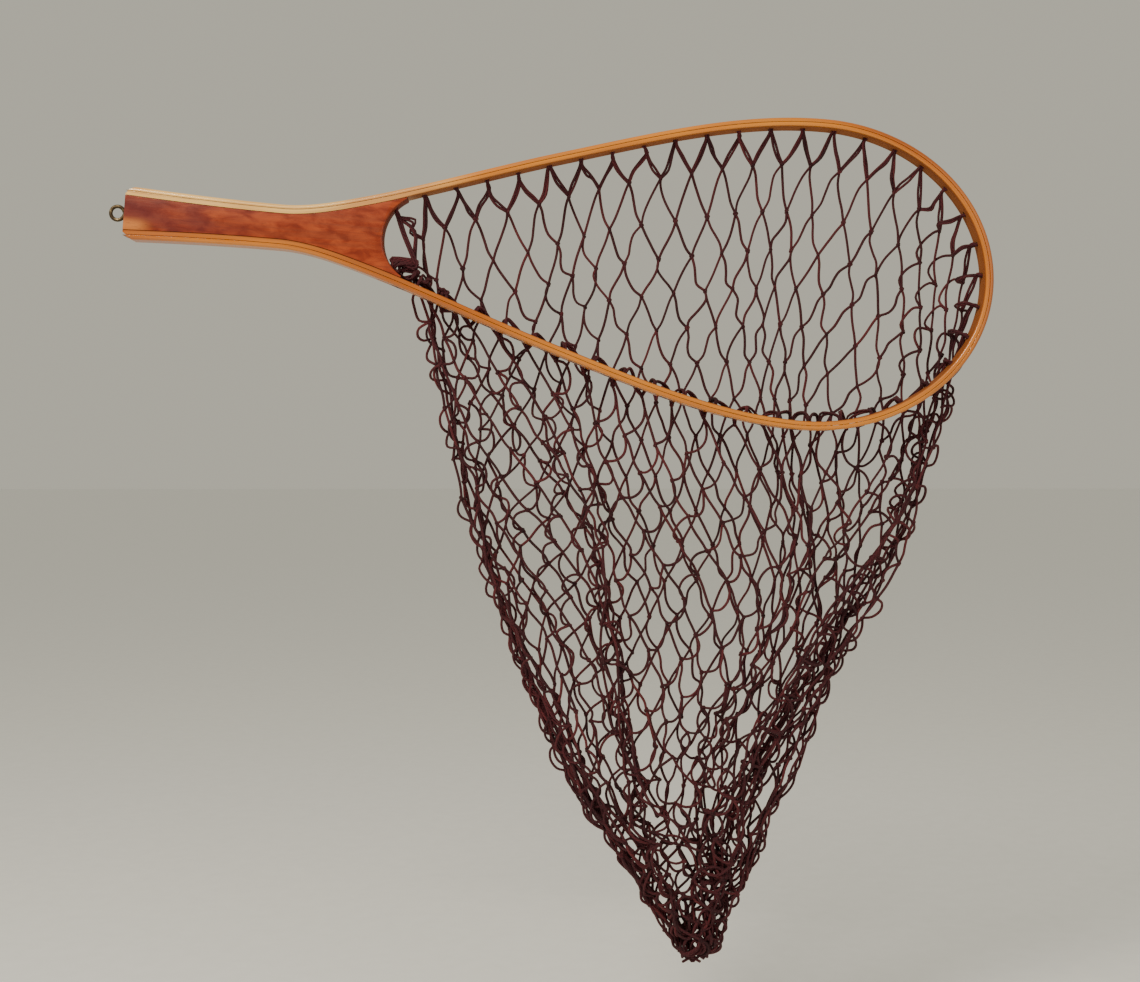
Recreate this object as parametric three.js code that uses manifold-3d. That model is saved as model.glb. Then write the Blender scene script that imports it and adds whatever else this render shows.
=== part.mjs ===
// A teardrop landing net with a laminated wooden frame, hung on its side with the bag hanging down.
// Millimetres, +Z up. The hoop stands in the XZ plane, the handle points to -X, the bag hangs behind
// the hoop on the +Y side. The origin is the point of the hoop's upper rail that rests on a nail.
import * as THREE from "three";
import { mergeVertices } from "three/addons/utils/BufferGeometryUtils.js";
import Module from "manifold-3d";

const wasm = await Module();
wasm.setup();

// ---- Driving dimensions ----------------------------------------------------------------------

// The frame is drawn on its own axis: "at" runs from the butt to the hoop's tip, "half" is the
// outer half width there and "slope" is how fast the half width grows.
const HOOP_TIP = 571.5;
const BELLY = { at: 452, half: 102.4, slope: 0 };
const OUTLINE = [
  { at: 0, half: 17.4, slope: -0.05 },
  { at: 101, half: 14.4, slope: 0 },
  { at: 153, half: 24, slope: 0.28 },
  { at: 280, half: 65.1, slope: 0.305 },
  BELLY,
];
const OUTLINE_STEP = 13;
const TIP_STEPS = 11;

const FRAME_DEPTH = 16;
const STRIP = 2.8;
const GLUE = 0.3;
const BUTT_CHAMFER = 5;
const THROAT_RADIUS = 29.8;
const THROAT_CENTRE = 197.8;
const HORN_TIP = 190;

const HOOP_HOLES = 42;
const FIRST_HOLE = 192;
const THROAT_HOLE = 171;
const HOLE_RADIUS = 1.7;
const GROOVE_WIDTH = 3.6;
const GROOVE_DEPTH = 1.9;
const LACING_RADIUS = 0.8;
const LACING_OFFSET = 0.7;
const LACING_TAIL = 17;
const LACING_BEND = 2.6;
const LACING_STEPS = 110;
const CORD_CLEARANCE = 0.35;

const EYE_RADIUS = 4.4;
const EYE_WIRE = 1.2;
const EYE_SHANK = 17;
const EYE_HOLE = 1.6;

// How the net hangs: the butt is higher than the tip, and the nail is under the upper rail.
const HANG_TILT = THREE.MathUtils.degToRad(4.9);
const NAIL_AT = 276;

// The bag, in the row frame: its left and right edges and its front and back at each height.
const NET_WALL = 2.4;
const END_TURNS = 5;
const CUT_PAST = 5;
const MOUTH_LEVELS = [
  { z: 21, left: 150, right: 204, front: 8.8, back: 14.6 },
  { z: 10, left: 58, right: 238, front: 8.8, back: 15.6 },
  { z: -5, left: -12, right: 255, front: 8.8, back: 17 },
  { z: -22, left: -80, right: 269, front: 8.8, back: 18.5 },
  { z: -60, left: -98, right: 279, front: 8.8, back: 22 },
  { z: -98, left: -88, right: 277, front: 8.8, back: 25.5 },
  { z: -140, left: -82, right: 268, front: 8.8, back: 29.5 },
  { z: -168, left: -78, right: 264, front: 8.8, back: 31.2 },
];
const UPPER_LEVELS = [
  { z: -192, left: -74, right: 265, front: 8.8, back: 31.2 },
  { z: -248, left: -54, right: 266, front: 8.8, back: 31.2 },
  { z: -298, left: -36, right: 242, front: 9.5, back: 30.5 },
  { z: -330, left: -24, right: 223, front: 10, back: 30 },
];
const LOWER_LEVELS = [
  { z: -346, left: -18, right: 210, front: 10, back: 30 },
  { z: -392, left: -1, right: 177, front: 10, back: 30 },
  { z: -436, left: 24, right: 149, front: 10, back: 30 },
];
const TAIL_LEVELS = [
  { z: -466, left: 47, right: 142, front: 11, back: 29 },
  { z: -498, left: 65, right: 120, front: 12, back: 28 },
  { z: -526, left: 84, right: 108, front: 13, back: 27 },
];
const SELVEDGE = { gap: 0.4, thick: 2.2, front: -2.5, back: 7.5 };
const TAIL_CORD = { z: -529, halfWidth: 11, halfDepth: 6, radius: 1.2, knot: 2.8 };

// ---- Materials -------------------------------------------------------------------------------

function material(colour, roughness, metalness = 0) {
  return new THREE.MeshStandardMaterial({ color: colour, roughness, metalness });
}
const cherry = material(0x9c4a22, 0.35);
const ash = material(0xcf8f4a, 0.4);
const antiqueBrass = material(0x4a4030, 0.45, 0.9);
const twine = material(0x3c1f22, 0.85);

// ---- Solids and booleans ---------------------------------------------------------------------

function solidOf(geometry) {
  const flat = geometry.index ? geometry.toNonIndexed() : geometry.clone();
  const bare = new THREE.BufferGeometry().setAttribute("position", flat.getAttribute("position"));
  const merged = mergeVertices(bare, 1e-4);
  return new wasm.Manifold(
    new wasm.Mesh({
      numProp: 3,
      vertProperties: merged.attributes.position.array,
      triVerts: new Uint32Array(merged.index.array),
    }),
  );
}

function geometryOf(solid) {
  const mesh = solid.getMesh();
  const geometry = new THREE.BufferGeometry();
  geometry.setAttribute("position", new THREE.BufferAttribute(mesh.vertProperties, 3));
  geometry.setIndex(new THREE.BufferAttribute(mesh.triVerts, 1));
  geometry.computeVertexNormals();
  return geometry;
}

function piece(name, solid, look) {
  const mesh = new THREE.Mesh(geometryOf(solid), look);
  mesh.name = name;
  return mesh;
}

// A flat outline in the XZ plane, given depth along Y from front to back.
function plate(points, front, back) {
  const shape = new THREE.Shape(points);
  const geometry = new THREE.ExtrudeGeometry(shape, {
    depth: back - front,
    bevelEnabled: false,
    curveSegments: 12,
  });
  geometry.rotateX(Math.PI / 2);
  geometry.translate(0, back, 0);
  return solidOf(geometry);
}

// A round cord along a curve.
function cord(curve, radius, steps, sides = 8) {
  const section = new THREE.Shape();
  for (let i = 0; i < sides; i++) {
    const turn = (2 * Math.PI * i) / sides;
    const x = radius * Math.cos(turn);
    const y = radius * Math.sin(turn);
    if (i) section.lineTo(x, y);
    else section.moveTo(x, y);
  }
  section.closePath();
  return solidOf(
    new THREE.ExtrudeGeometry(section, { extrudePath: curve, steps, bevelEnabled: false }),
  );
}

// ---- The frame's outline ---------------------------------------------------------------------

// Half width and slope at a place along the sides, by a cubic through the outline's stations.
function sideAt(at) {
  const next = OUTLINE.findIndex((station) => station.at >= at && station.at > 0);
  const a = OUTLINE[next - 1];
  const b = OUTLINE[next];
  const length = b.at - a.at;
  const t = (at - a.at) / length;
  const half =
    a.half * (2 * t ** 3 - 3 * t ** 2 + 1) +
    b.half * (3 * t ** 2 - 2 * t ** 3) +
    length * a.slope * (t ** 3 - 2 * t ** 2 + t) +
    length * b.slope * (t ** 3 - t ** 2);
  const slope =
    ((b.half - a.half) / length) * (6 * t - 6 * t ** 2) +
    a.slope * (3 * t ** 2 - 4 * t + 1) +
    b.slope * (3 * t ** 2 - 2 * t);
  return { half, slope };
}

// The outer outline from the upper butt corner round the tip to the lower butt corner, each
// point with its outward normal. The butt is sawn square, so there the normal is square too.
function frameOutline() {
  const upper = [];
  const sideSteps = Math.round(BELLY.at / OUTLINE_STEP);
  for (let i = 0; i < sideSteps; i++) {
    const at = (BELLY.at * i) / sideSteps;
    const { half, slope } = sideAt(at);
    const butt = i === 0;
    upper.push({
      point: new THREE.Vector2(at, half),
      normal: butt ? new THREE.Vector2(0, 1) : new THREE.Vector2(-slope, 1).normalize(),
    });
  }
  const reach = HOOP_TIP - BELLY.at;
  for (let i = 0; i <= TIP_STEPS; i++) {
    const turn = (Math.PI / 2) * (1 - i / TIP_STEPS);
    upper.push({
      point: new THREE.Vector2(
        BELLY.at + reach * Math.cos(turn),
        BELLY.half * Math.sin(turn),
      ),
      normal: new THREE.Vector2(
        Math.cos(turn) / reach,
        Math.sin(turn) / BELLY.half,
      ).normalize(),
    });
  }
  const lower = upper.slice(0, -1).reverse();
  const mirrored = lower.map(({ point, normal }) => ({
    point: new THREE.Vector2(point.x, -point.y),
    normal: new THREE.Vector2(normal.x, -normal.y),
  }));
  return [...upper, ...mirrored];
}
const outline = frameOutline();

// The outline moved inwards by a distance.
function inset(distance, stations = outline) {
  return stations.map(({ point, normal }) => point.clone().addScaledVector(normal, -distance));
}

// Places evenly spaced along the hoop's inner face, from one side of the throat to the other.
function placesAlong(count, firstAt, depth) {
  const line = inset(depth);
  const lengths = [0];
  for (let i = 1; i < line.length; i++) {
    lengths.push(lengths[i - 1] + line[i].distanceTo(line[i - 1]));
  }
  const total = lengths[lengths.length - 1];
  const before = line.findIndex((point) => point.x > firstAt);
  const first =
    lengths[before] - (line[before].x - firstAt) / Math.cos(Math.atan(sideAt(firstAt).slope));
  const spacing = (total - 2 * first) / (count - 1);
  return Array.from({ length: count }, (_, i) => {
    const along = first + i * spacing;
    const k = Math.max(1, lengths.findIndex((length) => length >= along));
    const t = (along - lengths[k - 1]) / (lengths[k] - lengths[k - 1]);
    const normal = outline[k - 1].normal.clone().lerp(outline[k].normal, t).normalize();
    return { inner: line[k - 1].clone().lerp(line[k], t), normal };
  });
}

const INNER_FACE = 2 * STRIP + GLUE;

// The two holes drilled through the core's horns into the throat, one above and one below.
function throatHole(side) {
  const { half, slope } = sideAt(THROAT_HOLE);
  const normal = new THREE.Vector2(-slope, side).normalize();
  const inner = new THREE.Vector2(THROAT_HOLE, side * half).addScaledVector(normal, -INNER_FACE);
  return { inner, normal };
}

const holes = [
  throatHole(1),
  ...placesAlong(HOOP_HOLES, FIRST_HOLE, INNER_FACE),
  throatHole(-1),
];

// ---- Wooden pieces ---------------------------------------------------------------------------

function strip(from, to, front, back, stations = outline) {
  return plate([...inset(from, stations), ...inset(to, stations).reverse()], front, back);
}

// The corners that are cut off the butt, one above and one below the axis.
function buttCorners() {
  const corner = OUTLINE[0].half;
  const cut = (side) =>
    plate(
      [
        new THREE.Vector2(-1, side * (corner - BUTT_CHAMFER - 1)),
        new THREE.Vector2(BUTT_CHAMFER + 1, side * (corner + 1)),
        new THREE.Vector2(-1, side * (corner + 1)),
      ],
      -FRAME_DEPTH,
      FRAME_DEPTH,
    );
  return cut(1).add(cut(-1));
}

// The radial holes that the netting's loops pass through.
function loopHoles() {
  const drills = holes.map(({ inner, normal }) => {
    const drill = new THREE.CylinderGeometry(HOLE_RADIUS, HOLE_RADIUS, 4 * INNER_FACE, 6);
    const direction = new THREE.Vector3(normal.x, 0, normal.y);
    drill.applyQuaternion(
      new THREE.Quaternion().setFromUnitVectors(new THREE.Vector3(0, 1, 0), direction),
    );
    drill.translate(inner.x, 0, inner.y);
    return solidOf(drill);
  });
  return wasm.Manifold.union(drills);
}

// The channel round the outside of the hoop that hides the lacing.
function lacingGroove() {
  const [firstHole] = holes;
  const margin = 2 * HOLE_RADIUS;
  const onHoop = outline.filter(({ point }) => point.x > firstHole.inner.x - margin);
  return strip(-1, GROOVE_DEPTH, -GROOVE_WIDTH / 2, GROOVE_WIDTH / 2, onHoop);
}

// The lacing runs in the groove, and each end turns in through a throat hole.
function lacingCurve() {
  const at = ({ inner, normal }, out) => {
    const place = inner.clone().addScaledVector(normal, out);
    return new THREE.Vector3(place.x, 0, place.y);
  };
  const inGroove = INNER_FACE - LACING_OFFSET;
  const ends = [holes[0], holes[holes.length - 1]];
  const [start, finish] = ends.map((hole) => [
    at(hole, -LACING_TAIL),
    at(hole, 0),
    at(hole, inGroove - LACING_BEND),
  ]);
  const run = outline
    .filter(({ point }) => point.x > ends[0].inner.x + 1)
    .map(({ point, normal }) => {
      const place = point.clone().addScaledVector(normal, -LACING_OFFSET);
      return new THREE.Vector3(place.x, 0, place.y);
    });
  return new THREE.CatmullRomCurve3([...start, ...run, ...finish.reverse()], false, "centripetal");
}

function core() {
  const depth = INNER_FACE + GLUE;
  const upper = outline
    .slice(0, outline.length / 2)
    .map(({ point, normal }) => point.clone().addScaledVector(normal, -depth))
    .filter((point) => point.x < HORN_TIP);
  const lower = upper.map((point) => new THREE.Vector2(point.x, -point.y)).reverse();
  const throat = new THREE.CylinderGeometry(THROAT_RADIUS, THROAT_RADIUS, 4 * FRAME_DEPTH, 48);
  throat.translate(THROAT_CENTRE, 0, 0);
  const shank = new THREE.CylinderGeometry(EYE_HOLE, EYE_HOLE, 2 * (EYE_SHANK + 1), 10);
  shank.rotateZ(Math.PI / 2);
  return plate([...upper, ...lower], -FRAME_DEPTH / 2, FRAME_DEPTH / 2)
    .subtract(solidOf(throat))
    .subtract(solidOf(shank))
    .subtract(loopHoles());
}

function laminations() {
  const half = FRAME_DEPTH / 2;
  const lacing = lacingCurve();
  const lacingRoom = cord(lacing, LACING_RADIUS + CORD_CLEARANCE, LACING_STEPS, 8);
  const cuts = loopHoles().add(buttCorners()).add(lacingRoom);
  return {
    inner: strip(STRIP + GLUE, INNER_FACE, -half, half).subtract(cuts),
    outer: strip(0, STRIP, -half, half).subtract(cuts).subtract(lacingGroove()),
    lacing: cord(lacing, LACING_RADIUS, LACING_STEPS, 8),
  };
}

// ---- Screw eye -------------------------------------------------------------------------------

function screwEye() {
  const centre = -(EYE_RADIUS + EYE_WIRE + GLUE);
  const ring = new THREE.TorusGeometry(EYE_RADIUS, EYE_WIRE, 8, 24);
  ring.rotateX(Math.PI / 2);
  ring.translate(centre, 0, 0);
  const length = EYE_SHANK - centre - EYE_RADIUS;
  const shank = new THREE.CylinderGeometry(EYE_WIRE, EYE_WIRE, length, 8);
  shank.rotateZ(Math.PI / 2);
  shank.translate(EYE_SHANK - length / 2, 0, 0);
  return solidOf(ring).add(solidOf(shank));
}

// ---- Netting ---------------------------------------------------------------------------------

// One level of the bag: a flat ring with round ends, drawn in by a wall thickness.
function ring({ z, left, right, front, back }, wall) {
  const points = [];
  const radius = (back - front) / 2 - wall;
  const middle = (front + back) / 2;
  for (const [end, side] of [
    [right - wall - radius, 1],
    [left + wall + radius, -1],
  ]) {
    for (let i = 0; i <= END_TURNS; i++) {
      const turn = side * (Math.PI / 2) * (1 - (2 * i) / END_TURNS);
      const across = side * radius * Math.cos(turn);
      points.push(new THREE.Vector3(end + across, middle + radius * Math.sin(turn), z));
    }
  }
  return points;
}

// A closed solid through rings that have the same number of points, from the top down.
function loft(rings) {
  const count = rings[0].length;
  const points = rings.flat();
  const faces = [];
  for (let level = 0; level + 1 < rings.length; level++) {
    for (let i = 0; i < count; i++) {
      const a = level * count + i;
      const b = level * count + ((i + 1) % count);
      faces.push(a, a + count, b, b, a + count, b + count);
    }
  }
  const last = (rings.length - 1) * count;
  for (let i = 1; i + 1 < count; i++) {
    faces.push(0, i, i + 1);
    faces.push(last, last + i + 1, last + i);
  }
  const geometry = new THREE.BufferGeometry().setFromPoints(points);
  geometry.setIndex(faces);
  const solid = solidOf(geometry);
  return solid.volume() < 0 ? solidOf(flipped(geometry)) : solid;
}

function flipped(geometry) {
  const index = [...geometry.index.array];
  for (let i = 0; i < index.length; i += 3) {
    [index[i + 1], index[i + 2]] = [index[i + 2], index[i + 1]];
  }
  const turned = geometry.clone();
  turned.setIndex(index);
  return turned;
}

// A stretch of the bag, hollow and open at its top and, unless it is closed, at its bottom.
function bagStretch(levels, { openTop = true, openBottom = true } = {}) {
  const inner = levels.map((level) => ring(level, NET_WALL));
  const top = inner[0];
  const bottom = inner[inner.length - 1];
  if (openTop) top.forEach((point) => (point.z += CUT_PAST));
  else top.forEach((point) => (point.z -= NET_WALL));
  if (openBottom) bottom.forEach((point) => (point.z -= CUT_PAST));
  else bottom.forEach((point) => (point.z += NET_WALL));
  return loft(levels.map((level) => ring(level, 0))).subtract(loft(inner));
}

// The first row of meshes, which lies along the hoop's inner face.
function selvedge() {
  const face = INNER_FACE + SELVEDGE.gap;
  const onHoop = outline.filter(({ point }) => point.x > FIRST_HOLE + 2 * HOLE_RADIUS);
  return strip(face, face + SELVEDGE.thick, SELVEDGE.front, SELVEDGE.back, onHoop);
}

function hoopOpening() {
  const face = INNER_FACE + SELVEDGE.gap + SELVEDGE.thick;
  const onHoop = inset(face).filter((point) => point.x > HORN_TIP);
  return plate(onHoop, 0, MOUTH_LEVELS[0].front + NET_WALL + GLUE);
}

function tailCord() {
  const { left, right, front, back } = TAIL_LEVELS[TAIL_LEVELS.length - 1];
  const loop = new THREE.TorusGeometry(1, TAIL_CORD.radius / TAIL_CORD.halfWidth, 6, 20);
  loop.scale(TAIL_CORD.halfWidth, TAIL_CORD.halfDepth, TAIL_CORD.halfWidth);
  loop.translate((left + right) / 2, (front + back) / 2, TAIL_CORD.z);
  const knot = new THREE.SphereGeometry(TAIL_CORD.knot, 10, 6);
  knot.translate((left + right) / 2 - TAIL_CORD.halfWidth, (front + back) / 2, TAIL_CORD.z - 1);
  return solidOf(loop).add(solidOf(knot));
}

// ---- Assembly --------------------------------------------------------------------------------

const landingNet = new THREE.Group();

const nailHalf = sideAt(NAIL_AT).half - INNER_FACE / Math.cos(Math.atan(sideAt(NAIL_AT).slope));
const onNail = new THREE.Group();
onNail.position.set(-NAIL_AT, 0, -nailHalf);
const frame = new THREE.Group();
frame.rotation.y = HANG_TILT;
frame.add(onNail);
landingNet.add(frame);

const { inner, outer, lacing } = laminations();
onNail.add(
  piece("handle_core", core(), cherry),
  piece("inner_lamination", inner, ash),
  piece("outer_lamination", outer, ash),
  piece("screw_eye", screwEye(), antiqueBrass),
  piece("lacing_cord", lacing, twine),
  piece("net_selvedge", selvedge(), twine),
);

// The hoop's opening, turned into the row frame, is cut out of the front of the mouth.
landingNet.updateMatrixWorld(true);
const openingInRow = geometryOf(hoopOpening()).applyMatrix4(onNail.matrixWorld);
const mouth = bagStretch(MOUTH_LEVELS, { openTop: false }).subtract(solidOf(openingInRow));
landingNet.add(
  piece("net_mouth", mouth, twine),
  piece("net_upper", bagStretch(UPPER_LEVELS), twine),
  piece("net_lower", bagStretch(LOWER_LEVELS), twine),
  piece("net_tail", bagStretch(TAIL_LEVELS, { openBottom: false }), twine),
  piece("tail_cord", tailCord(), twine),
);

export default landingNet;
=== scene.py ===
"""A laminated wooden landing net, hung by its hoop on a nail, with the bag hanging behind the hoop.

All lengths are in millimetres until a mesh is made; the row frame has +Z up, the hoop in the XZ
plane, the handle towards -X and the bag on the +Y side. The frame's own axis is used for the wood:
"at" runs from the butt to the hoop's tip and "half" is the half width there.
"""

import math

import bpy
import numpy as np
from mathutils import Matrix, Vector


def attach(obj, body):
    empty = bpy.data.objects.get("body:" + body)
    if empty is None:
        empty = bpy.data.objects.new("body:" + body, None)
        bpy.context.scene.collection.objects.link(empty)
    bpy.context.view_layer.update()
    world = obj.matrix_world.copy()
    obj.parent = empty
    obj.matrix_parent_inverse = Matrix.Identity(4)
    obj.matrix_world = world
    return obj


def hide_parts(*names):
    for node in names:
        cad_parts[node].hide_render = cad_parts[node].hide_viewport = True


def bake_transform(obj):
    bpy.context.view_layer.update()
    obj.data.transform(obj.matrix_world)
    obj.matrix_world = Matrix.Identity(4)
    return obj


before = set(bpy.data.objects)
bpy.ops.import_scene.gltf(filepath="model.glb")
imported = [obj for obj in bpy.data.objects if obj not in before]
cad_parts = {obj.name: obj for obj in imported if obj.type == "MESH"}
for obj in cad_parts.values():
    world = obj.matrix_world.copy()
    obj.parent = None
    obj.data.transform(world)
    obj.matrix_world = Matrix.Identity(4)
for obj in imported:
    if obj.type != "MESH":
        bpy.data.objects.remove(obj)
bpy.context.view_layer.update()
MM = 0.001

# ---- Driving dimensions: the wooden frame ----------------------------------------------------

HOOP_TIP = 571.5
BELLY_AT, BELLY_HALF = 452.0, 102.4
# at, outer half width, slope of the half width
OUTLINE = [(0, 17.4, -0.05), (101, 14.4, 0), (153, 24, 0.28), (280, 65.1, 0.305),
           (BELLY_AT, BELLY_HALF, 0)]
HALF_DEPTH = 8.0
STRIP = 2.8
GLUE = 0.3
INNER_FACE = 2 * STRIP + GLUE
CORE_FACE = INNER_FACE + GLUE
BUTT_CHAMFER = 5.0
THROAT_RADIUS, THROAT_CENTRE = 29.8, 197.8
HORN_TIP, HORN_END = 190.0, 182.5
STATION_STEP = 2.0
BELLY_STATIONS = round(BELLY_AT / STATION_STEP)
TIP_STATIONS = 150
BUTT_ROUNDING = 1.0
OUTER_ROUNDING = 2.2
INNER_ROUNDING = 1.7
GLUE_ROUNDING = 0.14
THROAT_ROUNDING = 1.6
GLUE_RECESS = 0.25

HOOP_HOLES, FIRST_HOLE, THROAT_HOLE = 42, 192, 171
# From the throat's face out to the frame's side, along a throat hole.
THROAT_HOLE_LENGTH = 13.0
HOLE_RADIUS = 1.7
GROOVE_WIDTH, GROOVE_DEPTH = 3.6, 1.9

HANG_TILT = math.radians(4.9)
NAIL_AT = 276

EYE_RADIUS, EYE_WIRE, EYE_SHANK = 4.4, 1.2, 17.0

# ---- Driving dimensions: the netting ---------------------------------------------------------

# Meshes in each row of knots from the rim down; the last rows lose meshes towards the tail.
ROW_COUNTS = [44] * 18 + [41, 36, 31, 26, 21, 16, 12]
FIRST_LEG, SECOND_BAR, BAR = 25.0, 33.0, 25.6
UPPER_THROAT_LEG, LOWER_THROAT_LEG = 42.0, 21.0
# The rows at the tail are netted smaller.
TAIL_ROWS_FROM, TAIL_BAR = 19, 20.0
BAR_SEGMENTS = 4
TWINE = 0.92
TAIL = np.array([95.0, 20.0, -529.0])
TAIL_HALF_WIDTH, TAIL_HALF_DEPTH = 8.5, 4.0
BAG_MIDDLE, BAG_BULGE = 20.0, 8.0
# height, left edge, right edge
BAG_EDGES = [(-98, -88, 277), (-140, -82, 268), (-168, -78, 264), (-192, -74, 265),
             (-248, -54, 266), (-298, -36, 242), (-330, -24, 223), (-346, -18, 210),
             (-392, -1, 177), (-436, 24, 149), (-466, 47, 142), (-498, 65, 120), (-526, 84, 108)]
THROAT_KNOT = (-93.0, 6.0, -70.0)
LACING_RADIUS, LACING_DEPTH, LACING_DIP = 0.8, 0.7, 2.2
LOOP_RADIUS = 0.62

# Heights where the bag's pieces part.
PIECE_SEAMS = (-262.0, -393.0)

# ---- The frame's outline ---------------------------------------------------------------------


def unit(v):
    return v / np.maximum(np.linalg.norm(v, axis=-1, keepdims=True), 1e-9)


def side_at(at):
    """Outer half width and slope at a place along the sides."""
    for (a, half_a, slope_a), (b, half_b, slope_b) in zip(OUTLINE, OUTLINE[1:]):
        if at <= b:
            break
    length = b - a
    t = (at - a) / length
    half = (half_a * (2 * t**3 - 3 * t**2 + 1) + half_b * (3 * t**2 - 2 * t**3)
            + length * (slope_a * (t**3 - 2 * t**2 + t) + slope_b * (t**3 - t**2)))
    slope = ((half_b - half_a) / length * (6 * t - 6 * t**2)
             + slope_a * (3 * t**2 - 4 * t + 1) + slope_b * (3 * t**2 - 2 * t))
    return half, slope


def frame_outline():
    """Points (at, across) from the upper butt corner round the tip to the lower one, and normals."""
    points, normals = [], []
    for i in range(BELLY_STATIONS):
        at = BELLY_AT * i / BELLY_STATIONS
        half, slope = side_at(at)
        points.append((at, half))
        normals.append((-slope, 1.0))
    reach = HOOP_TIP - BELLY_AT
    for i in range(TIP_STATIONS // 2 + 1):
        turn = math.pi / 2 * (1 - i / (TIP_STATIONS // 2))
        points.append((BELLY_AT + reach * math.cos(turn), BELLY_HALF * math.sin(turn)))
        normals.append((math.cos(turn) / reach, math.sin(turn) / BELLY_HALF))
    points, normals = np.array(points), unit(np.array(normals))
    mirror = np.array([1, -1])
    points = np.vstack([points, points[-2::-1] * mirror])
    normals = np.vstack([normals, normals[-2::-1] * mirror])
    normals[[0, -1]] = [(0, 1), (0, -1)]
    return points, normals


POINTS, NORMALS = frame_outline()
NAIL_HALF = side_at(NAIL_AT)[0] - INNER_FACE / math.cos(math.atan(side_at(NAIL_AT)[1]))


def turned(v):
    """A direction on the frame's axis, as (x, z) in the row frame."""
    c, s = math.cos(HANG_TILT), math.sin(HANG_TILT)
    return np.stack([v[..., 0] * c + v[..., 1] * s, v[..., 1] * c - v[..., 0] * s], -1)


def to_row(places):
    """Places (at, across) on the frame's axis, as (x, z) in the row frame."""
    return turned(np.asarray(places, float) - [NAIL_AT, NAIL_HALF])


def to_space(places, y):
    """Places (at, across) with their depth y, as points in the row frame."""
    flat = to_row(places)
    return np.stack([flat[..., 0], np.broadcast_to(y, flat.shape[:-1]), flat[..., 1]], -1)


def lengths_of(line):
    return np.concatenate([[0], np.cumsum(np.linalg.norm(np.diff(line, axis=0), axis=1))])


ALONG = lengths_of(POINTS)


def netting_holes():
    """The inner ends of the holes and the outward normals: throat, hoop from top to bottom, throat."""
    line = POINTS - NORMALS * INNER_FACE
    along = lengths_of(line)
    first = np.interp(FIRST_HOLE, line[:BELLY_STATIONS, 0], along[:BELLY_STATIONS])
    places = np.linspace(first, along[-1] - first, HOOP_HOLES)
    inner = np.stack([np.interp(places, along, line[:, k]) for k in (0, 1)], -1)
    normal = unit(np.stack([np.interp(places, along, NORMALS[:, k]) for k in (0, 1)], -1))
    half, slope = side_at(THROAT_HOLE)
    ends = [unit(np.array([-slope, side])) for side in (1.0, -1.0)]
    mouths = [np.array([THROAT_HOLE, side * half]) - n * THROAT_HOLE_LENGTH
              for side, n in zip((1, -1), ends)]
    inner = np.vstack([mouths[0], inner, mouths[1]])
    normal = np.vstack([ends[0], normal, ends[1]])
    return inner, normal


HOLE_PLACES, HOLE_NORMALS = netting_holes()
HOLES = to_row(HOLE_PLACES)
HOLE_INWARD = -turned(HOLE_NORMALS)
HOLE_COUNT = len(HOLES)


# ---- Meshes ----------------------------------------------------------------------------------


def smoothstep(low, high, value):
    t = np.clip((value - low) / (high - low), 0, 1)
    return t * t * (3 - 2 * t)


def mesh_object(name, points, faces, maps=None, values=None):
    """A mesh from points in mm. maps are (u, v) per face corner, values one number per point."""
    mesh = bpy.data.meshes.new(name)
    points = np.asarray(points, float) * MM
    faces = [np.asarray(f) for f in faces]
    sizes = np.concatenate([np.full(len(f), f.shape[1]) for f in faces])
    corners = np.concatenate([f.ravel() for f in faces])
    mesh.vertices.add(len(points))
    mesh.vertices.foreach_set("co", points.astype(np.float32).ravel())
    mesh.loops.add(len(corners))
    mesh.loops.foreach_set("vertex_index", corners.astype(np.int32))
    mesh.polygons.add(len(sizes))
    starts = np.concatenate([[0], np.cumsum(sizes)[:-1]])
    mesh.polygons.foreach_set("loop_start", starts.astype(np.int32))
    mesh.update(calc_edges=True)
    for key, per_corner in (maps or {}).items():
        layer = mesh.uv_layers.new(name=key, do_init=False)
        layer.data.foreach_set("uv", np.asarray(per_corner, np.float32).ravel())
    for key, per_point in (values or {}).items():
        attribute = mesh.attributes.new(key, "FLOAT", "POINT")
        attribute.data.foreach_set("value", np.asarray(per_point, np.float32))
    mesh.polygons.foreach_set("use_smooth", np.ones(len(sizes), bool))
    mesh.validate()
    obj = bpy.data.objects.new(name, mesh)
    bpy.context.scene.collection.objects.link(obj)
    return obj


def spline(points, parts):
    """Smooth lines through points (lines, count, 3), with parts steps between two points."""
    before = 2 * points[:, :1] - points[:, 1:2]
    after = 2 * points[:, -1:] - points[:, -2:-1]
    p = np.concatenate([before, points, after], axis=1)
    t = (np.arange(parts) / parts)[None, None, :, None]
    p0, p1, p2, p3 = (p[:, k:k + points.shape[1] - 1, None] for k in range(4))
    line = 0.5 * (2 * p1 + (p2 - p0) * t + (2 * p0 - 5 * p1 + 4 * p2 - p3) * t**2
                  + (3 * p1 - p0 - 3 * p2 + p3) * t**3)
    line = line.reshape(len(points), -1, 3)
    return np.concatenate([line, points[:, -1:]], axis=1)


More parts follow.
